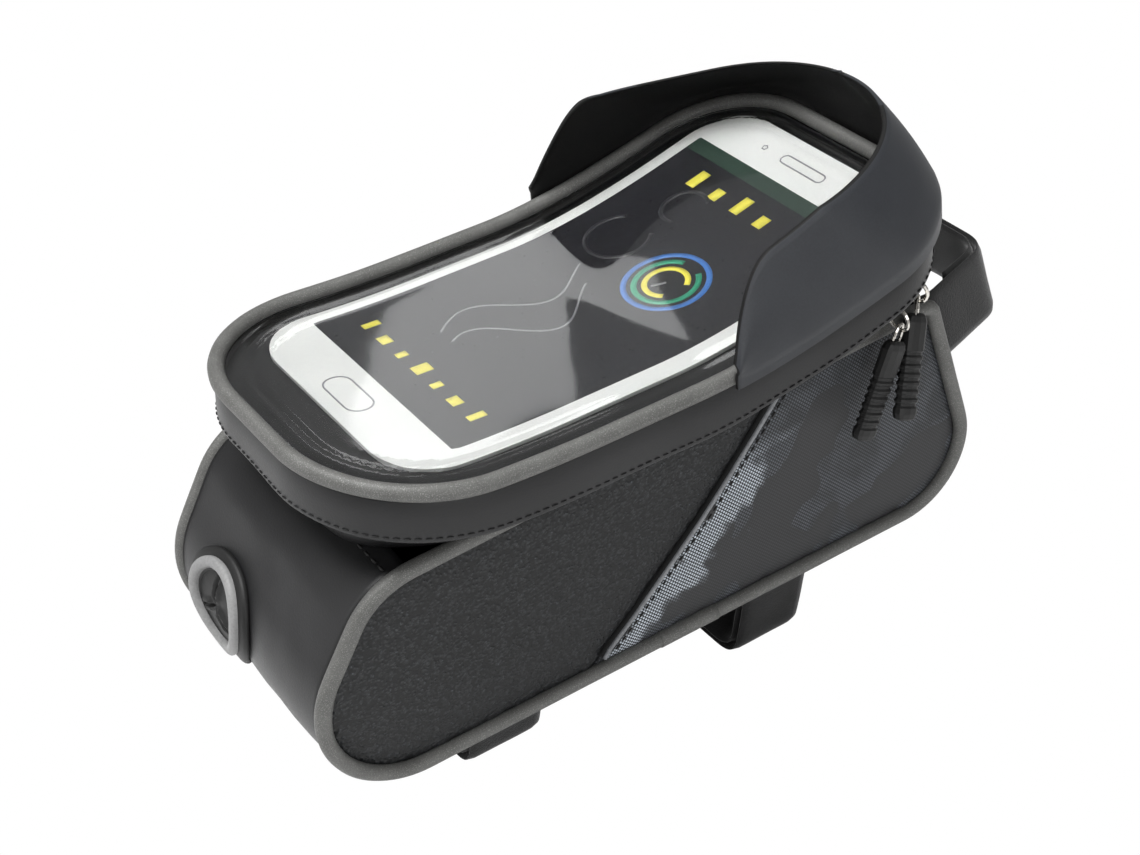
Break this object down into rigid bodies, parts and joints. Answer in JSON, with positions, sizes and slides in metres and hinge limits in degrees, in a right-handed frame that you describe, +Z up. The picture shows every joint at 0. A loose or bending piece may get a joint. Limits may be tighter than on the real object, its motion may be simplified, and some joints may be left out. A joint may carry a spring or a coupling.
{
  "type": "top tube phone bag",
  "caption": "Zipped frame bag with a clear phone window in its hinged lid, a sun visor, a cable port and hook-and-loop straps for the top tube and head tube",
  "frame": {"origin": "middle of the flat underside that sits on the top tube", "axes": "+X towards the head tube, +Y to the rider's left, +Z up away from the tube"},
  "size_m": [0.228, 0.1003, 0.1564],
  "materials": {
    "smooth_pu": "smooth black coated fabric, satin",
    "grain_pu": "pebbled black imitation leather",
    "mesh_fabric": "dark grey woven mesh with camouflage print",
    "piping_grey": "grey reflective piping",
    "trim_grey": "grey strand",
    "black_rubber": "matt black rubber",
    "port_grey": "grey rubber",
    "strap_black": "black hook and loop tape",
    "tape_black": "black woven tape",
    "coil_black": "black nylon coil",
    "nickel": "bright nickel plating",
    "window_tpu": "clear flexible film, glossy",
    "pad_black": "black foam and lining",
    "visor_pu": "charcoal coated sheet, matt",
    "insert_print": "printed card"
  },
  "bodies": {
    "bag": {"gusset": "smooth_pu", "right_rear_panel": "grain_pu", "left_rear_panel": "grain_pu", "right_front_panel": "mesh_fabric", "left_front_panel": "mesh_fabric", "right_piping": "piping_grey", "left_piping": "piping_grey", "right_trim": "trim_grey", "left_trim": "trim_grey", "port_backing": "black_rubber", "port_membrane": "black_rubber", "port_ring": "port_grey", "rear_strap_loop_side": "strap_black", "rear_strap_hook_side": "strap_black", "front_strap_loop_side": "strap_black", "front_strap_hook_side": "strap_black", "head_strap_loop_side": "strap_black", "head_strap_hook_side": "strap_black", "zip_tape_lower": "tape_black", "zip_coil_lower": "coil_black", "hinge_fold": "smooth_pu"},
    "lid": {"lid_band": "smooth_pu", "lid_piping": "piping_grey", "lid_window": "window_tpu", "display_insert": "insert_print", "pocket_pad": "pad_black", "pocket_floor": "tape_black", "pocket_flap": "strap_black", "sun_visor": "visor_pu", "zip_tape_upper": "tape_black", "zip_coil_upper": "coil_black"},
    "near_slider": {"near_slider": "nickel"},
    "near_ring": {"near_ring": "nickel"},
    "near_pull": {"near_link": "nickel", "near_grip": "black_rubber"},
    "far_slider": {"far_slider": "nickel"},
    "far_ring": {"far_ring": "nickel"},
    "far_pull": {"far_link": "nickel", "far_grip": "black_rubber"}
  },
  "joints": [
    {"name": "lid_hinge", "type": "hinge", "parent": "bag", "child": "lid", "pos_m": [-0.079, 0, 0.0705], "axis": [0, -1, 0], "range_deg": [0, 100]},
    {"name": "near_slider_run", "type": "hinge", "parent": "bag", "child": "near_slider", "pos_m": [0.0651, -0.0184, 0.07762], "axis": [0.2599, 0.0482, -0.9644], "range_deg": [0, 12]},
    {"name": "far_slider_run", "type": "hinge", "parent": "bag", "child": "far_slider", "pos_m": [0.06566, -0.01903, 0.07695], "axis": [-0.2727, -0.0179, 0.9619], "range_deg": [0, 8]},
    {"name": "near_ring_swing", "type": "hinge", "parent": "near_slider", "child": "near_ring", "pos_m": [0.07022, -0.04269, 0.07378], "axis": [0.9781, 0.2079, 0], "range_deg": [-10, 8]},
    {"name": "near_pull_swing", "type": "hinge", "parent": "near_ring", "child": "near_pull", "pos_m": [0.07063, -0.04462, 0.06902], "axis": [-0.9781, -0.2079, 0], "range_deg": [0, 25]},
    {"name": "far_ring_swing", "type": "hinge", "parent": "far_slider", "child": "far_ring", "pos_m": [0.07871, -0.039, 0.07609], "axis": [0.8192, 0.5736, 0], "range_deg": [-10, 3]},
    {"name": "far_pull_swing", "type": "hinge", "parent": "far_ring", "child": "far_pull", "pos_m": [0.07984, -0.04062, 0.07134], "axis": [-0.8192, -0.5736, 0], "range_deg": [0, 25]}
  ]
}
